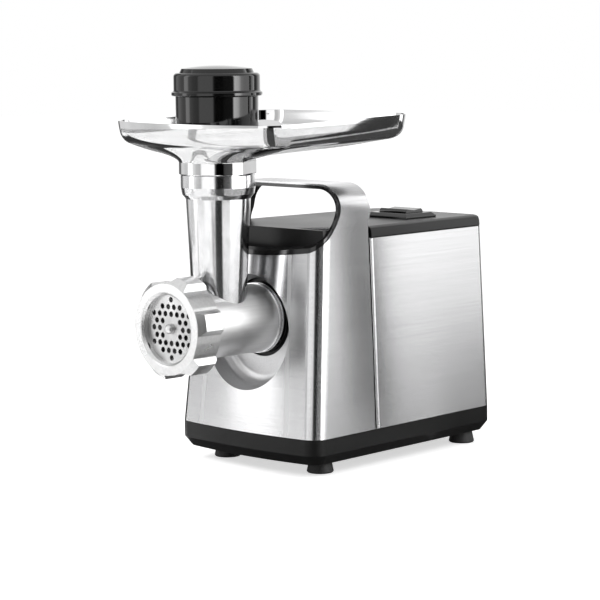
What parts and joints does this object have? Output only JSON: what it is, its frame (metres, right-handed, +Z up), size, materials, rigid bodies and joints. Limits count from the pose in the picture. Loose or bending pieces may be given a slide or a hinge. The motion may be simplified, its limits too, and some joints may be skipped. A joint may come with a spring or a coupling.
{
  "type": "electric meat grinder",
  "caption": "Free-standing electric meat grinder: tapered steel body with handle arch, gear motor, front grinding head with auger, knife, plate and ring nut, feed tray and pusher.",
  "frame": {"origin": "middle of the overall box, on the surface that the feet stand on", "axes": "+Z up, -Y towards the ring nut and the front of the head, +X to the right seen from the rear of the machine looking at the head"},
  "size_m": [0.1866, 0.316, 0.3253],
  "materials": {
    "satin_steel": "brushed",
    "cast_aluminium": "polished",
    "polished_steel": "polished",
    "black_gloss": "gloss",
    "black_satin": "satin",
    "foot_rubber": "matte",
    "grey_zinc": "cast",
    "gear_nylon": "satin",
    "bearing_bronze": "satin",
    "copper_wire": "satin",
    "lamination": "matte",
    "carbon": "matte",
    "board_green": "satin",
    "white_plastic": "satin"
  },
  "bodies": {
    "housing": {"base_tray": "black_satin", "feet": "foot_rubber", "foot_screws": "polished_steel", "front_casing": "satin_steel", "handle_liner": "black_satin", "rear_casing": "satin_steel", "seam_strip": "black_satin", "top_cover": "black_gloss", "switch_bezel": "black_gloss", "switch_body": "black_satin", "socket_collar": "black_satin", "collar_screws": "polished_steel", "gearbox_housing": "grey_zinc", "gearbox_cover": "grey_zinc", "gearbox_screws": "polished_steel", "gear_pins": "polished_steel", "output_bushes": "bearing_bronze", "stator": "lamination", "field_coils": "copper_wire", "motor_front_bracket": "black_satin", "motor_rear_bracket": "black_satin", "motor_bearings": "polished_steel", "carbon_brushes": "carbon", "motor_bolts": "polished_steel", "control_board": "board_green", "terminal_block": "white_plastic", "cord_inlet": "black_satin"},
    "rocker": {"rocker_switch": "black_gloss"},
    "output_shaft": {"output_wheel": "gear_nylon"},
    "second_shaft": {"second_wheel": "gear_nylon"},
    "first_shaft": {"first_wheel": "gear_nylon"},
    "rotor": {"motor_pinion": "polished_steel", "motor_shaft": "polished_steel", "armature": "lamination", "commutator": "copper_wire", "cooling_fan": "black_satin"},
    "head": {"grinder_head": "cast_aluminium", "auger_bush": "white_plastic", "plate_key": "polished_steel"},
    "auger": {"auger": "cast_aluminium", "cutter_knife": "polished_steel"},
    "plate": {"cutting_plate": "polished_steel"},
    "ring_nut": {"ring_nut": "cast_aluminium"},
    "tray": {"feed_tray": "cast_aluminium"},
    "pusher": {"pusher": "black_gloss"},
    "lid": {"pusher_lid": "black_gloss"}
  },
  "joints": [
    {"name": "motor_spin", "type": "hinge", "parent": "housing", "child": "rotor", "pos_m": [0.00003, 0.07, 0.07034], "axis": [0, 1, 0], "continuous": true},
    {"name": "first_spin", "type": "hinge", "parent": "housing", "child": "first_shaft", "pos_m": [-0.02118, -0.002, 0.09155], "axis": [0, 1, 0], "continuous": true},
    {"name": "second_spin", "type": "hinge", "parent": "housing", "child": "second_shaft", "pos_m": [0.01406, -0.015, 0.07873], "axis": [0, 1, 0], "continuous": true},
    {"name": "output_spin", "type": "hinge", "parent": "housing", "child": "output_shaft", "pos_m": [0, -0.02, 0.122], "axis": [0, 1, 0], "continuous": true},
    {"name": "rocker_tilt", "type": "hinge", "parent": "housing", "child": "rocker", "pos_m": [0.0215, 0.092, 0.1926], "axis": [1, 0, 0], "range_deg": [-8, 8]},
    {"name": "head_pull", "type": "slide", "parent": "housing", "child": "head", "axis": [0, -1, 0], "range_m": [0, 0.06]},
    {"name": "auger_spin", "type": "hinge", "parent": "head", "child": "auger", "pos_m": [0, -0.09, 0.122], "axis": [0, 1, 0], "continuous": true},
    {"name": "plate_travel", "type": "slide", "parent": "head", "child": "plate", "axis": [0, -1, 0], "range_m": [0, 0.0061]},
    {"name": "ring_turn", "type": "hinge", "parent": "plate", "child": "ring_nut", "pos_m": [0, -0.145, 0.122], "axis": [0, -1, 0], "range_deg": [0, 720]},
    {"name": "tray_lift", "type": "slide", "parent": "head", "child": "tray", "axis": [0, 0, 1], "range_m": [0, 0.06]},
    {"name": "pusher_lift", "type": "slide", "parent": "tray", "child": "pusher", "axis": [0, 0, 1], "range_m": [0, 0.11]},
    {"name": "lid_lift", "type": "slide", "parent": "pusher", "child": "lid", "axis": [0, 0, 1], "range_m": [0, 0.03]}
  ],
  "couplings": [
    {"joint": "first_spin", "follows": "motor_spin", "ratio": -0.2},
    {"joint": "second_spin", "follows": "motor_spin", "ratio": 0.05},
    {"joint": "output_spin", "follows": "motor_spin", "ratio": -0.015},
    {"joint": "auger_spin", "follows": "motor_spin", "ratio": -0.015},
    {"joint": "plate_travel", "follows": "ring_turn", "m_per_rad": 0.00047746}
  ]
}
